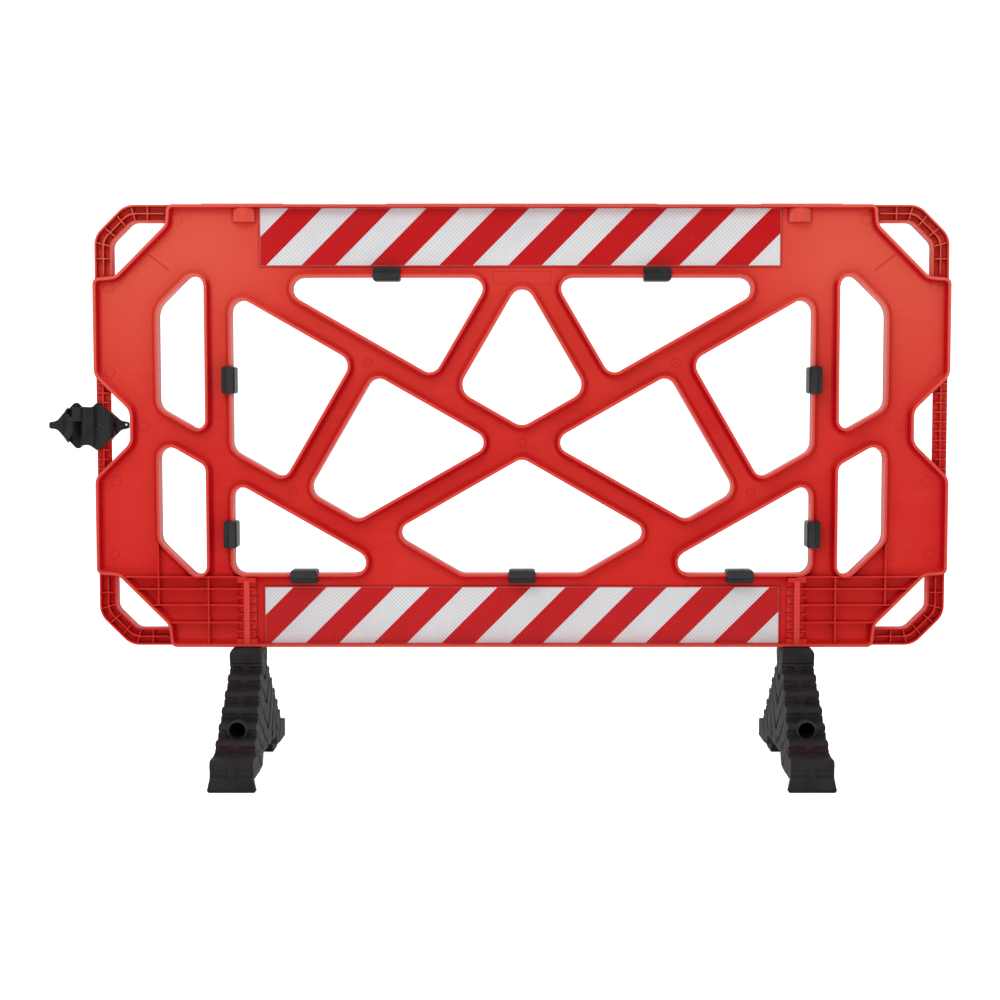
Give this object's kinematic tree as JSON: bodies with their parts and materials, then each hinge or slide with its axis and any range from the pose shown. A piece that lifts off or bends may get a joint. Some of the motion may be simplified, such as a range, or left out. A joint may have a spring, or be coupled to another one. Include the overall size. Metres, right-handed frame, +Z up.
{
  "type": "pedestrian barricade",
  "caption": "Lattice plastic barricade panel with striped reflective sheets, sign clips and a link connector, standing on swivelling stepped rubber feet.",
  "frame": {"origin": "on the ground, midway between the outermost points: the link connector's tip on the left and the panel's side edge on the right; the panel's own centreline is 41 mm to the right of it", "axes": "+X along the panel to the right, -Y out of the front, +Z up"},
  "size_m": [1.582, 0.5798, 0.995],
  "materials": {
    "red_plastic": "satin moulded polyethylene",
    "white_reflective": "micro-prismatic reflective film",
    "red_reflective": "transparent red overlay film",
    "black_rubber": "moulded recycled rubber",
    "black_plastic": "fine grained moulding",
    "steel": "zinc plated"
  },
  "bodies": {
    "panel": {"barrier_panel": "red_plastic", "sheet_top_front": "white_reflective", "sheet_bottom_front": "white_reflective", "sheet_top_rear": "white_reflective", "sheet_bottom_rear": "white_reflective", "stripes_top_front": "red_reflective", "stripes_bottom_front": "red_reflective", "stripes_top_rear": "red_reflective", "stripes_bottom_rear": "red_reflective", "sign_clip_top_left": "black_plastic", "sign_clip_top_right": "black_plastic", "sign_clip_left_upper": "black_plastic", "sign_clip_left_lower": "black_plastic", "sign_clip_right_upper": "black_plastic", "sign_clip_right_lower": "black_plastic", "sign_clip_bottom_left": "black_plastic", "sign_clip_bottom_middle": "black_plastic", "sign_clip_bottom_right": "black_plastic", "clip_pins": "black_plastic"},
    "left_foot": {"foot_left": "black_rubber", "spigot_left": "steel", "cross_pin_left": "steel", "washer_left": "black_plastic", "retaining_ring_left": "steel"},
    "right_foot": {"foot_right": "black_rubber", "spigot_right": "steel", "cross_pin_right": "steel", "washer_right": "black_plastic", "retaining_ring_right": "steel"},
    "link": {"link_connector": "black_plastic"}
  },
  "joints": [
    {"name": "left_foot_swivel", "type": "hinge", "parent": "panel", "child": "left_foot", "pos_m": [-0.445, 0, 0.219], "axis": [0, 0, 1], "range_deg": [-90, 90]},
    {"name": "right_foot_swivel", "type": "hinge", "parent": "panel", "child": "right_foot", "pos_m": [0.527, 0, 0.219], "axis": [0, 0, 1], "range_deg": [-90, 90]},
    {"name": "link_swing", "type": "hinge", "parent": "panel", "child": "link", "pos_m": [-0.695, 0, 0.6095], "axis": [0, 0, 1], "range_deg": [-90, 90]}
  ]
}
